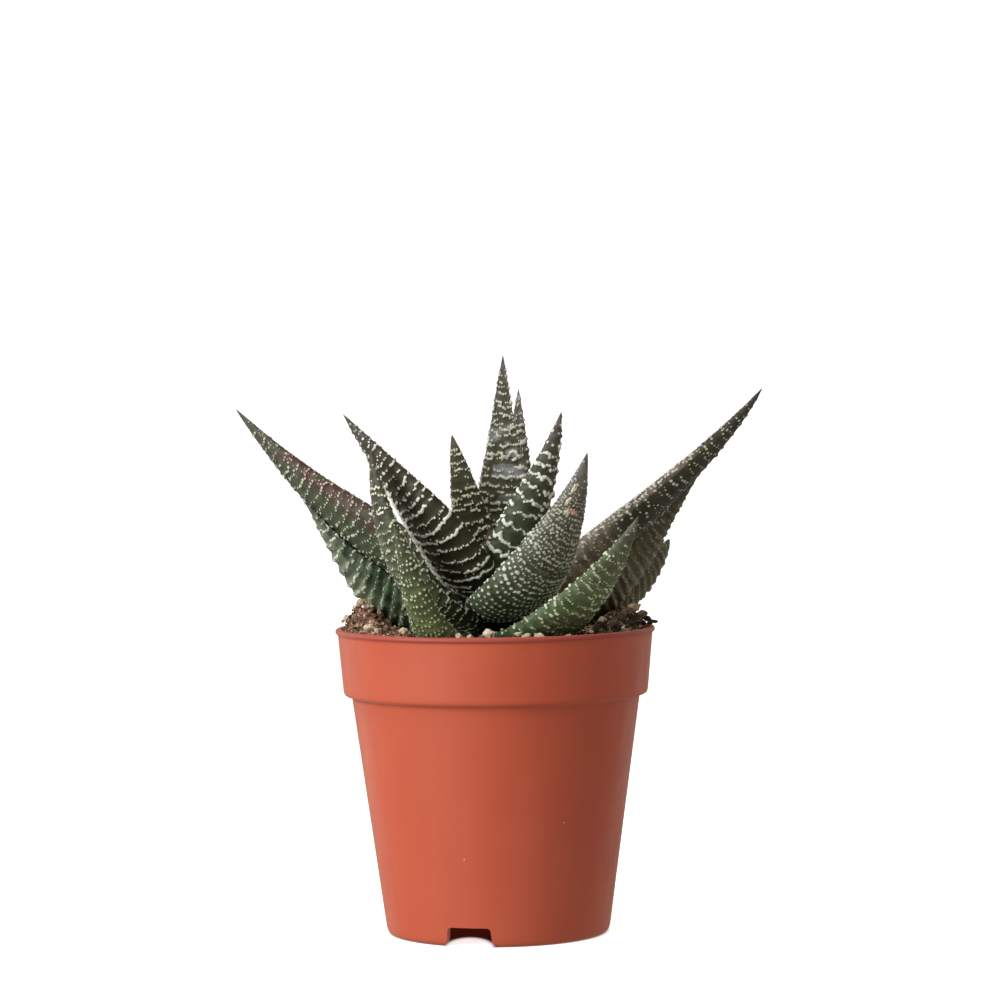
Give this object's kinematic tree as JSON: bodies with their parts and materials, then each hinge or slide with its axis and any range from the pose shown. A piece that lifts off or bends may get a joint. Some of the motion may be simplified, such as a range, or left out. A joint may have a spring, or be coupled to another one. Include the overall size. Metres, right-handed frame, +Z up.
{
  "type": "potted haworthia",
  "caption": "Small succulent rosette of pointed fleshy leaves with raised white tubercles, in potting mix in a tapered plastic nursery pot with a rim band.",
  "frame": {"origin": "centre of the bounding box at the plane the pot stands on, which is on the pot's axis", "axes": "+Z up along the pot's axis, -Y towards the viewer, +X to the viewer's right"},
  "size_m": [0.0984, 0.068, 0.1085],
  "materials": {
    "pot": "satin",
    "soil": "matte",
    "stem": "matte",
    "leaf": "satin",
    "leaf_light": "satin"
  },
  "bodies": {
    "root": {"pot": "pot", "soil": "soil", "stem": "stem", "leaf_heart": "leaf", "leaf_young": "leaf", "leaf_upright_right": "leaf", "leaf_tall": "leaf", "leaf_tall_behind": "leaf", "leaf_broad_left": "leaf", "leaf_front": "leaf", "leaf_back_left": "leaf", "leaf_back": "leaf", "leaf_far_right": "leaf", "leaf_far_left": "leaf", "leaf_slim_left": "leaf", "leaf_back_right_short": "leaf", "leaf_back_right": "leaf", "leaf_back_left_low": "leaf", "leaf_back_low": "leaf", "leaf_front_left": "leaf_light", "leaf_right_under": "leaf", "leaf_back_right_low": "leaf", "leaf_front_right": "leaf_light", "leaf_low_left": "leaf", "leaf_low_right": "leaf"}
  },
  "joints": []
}
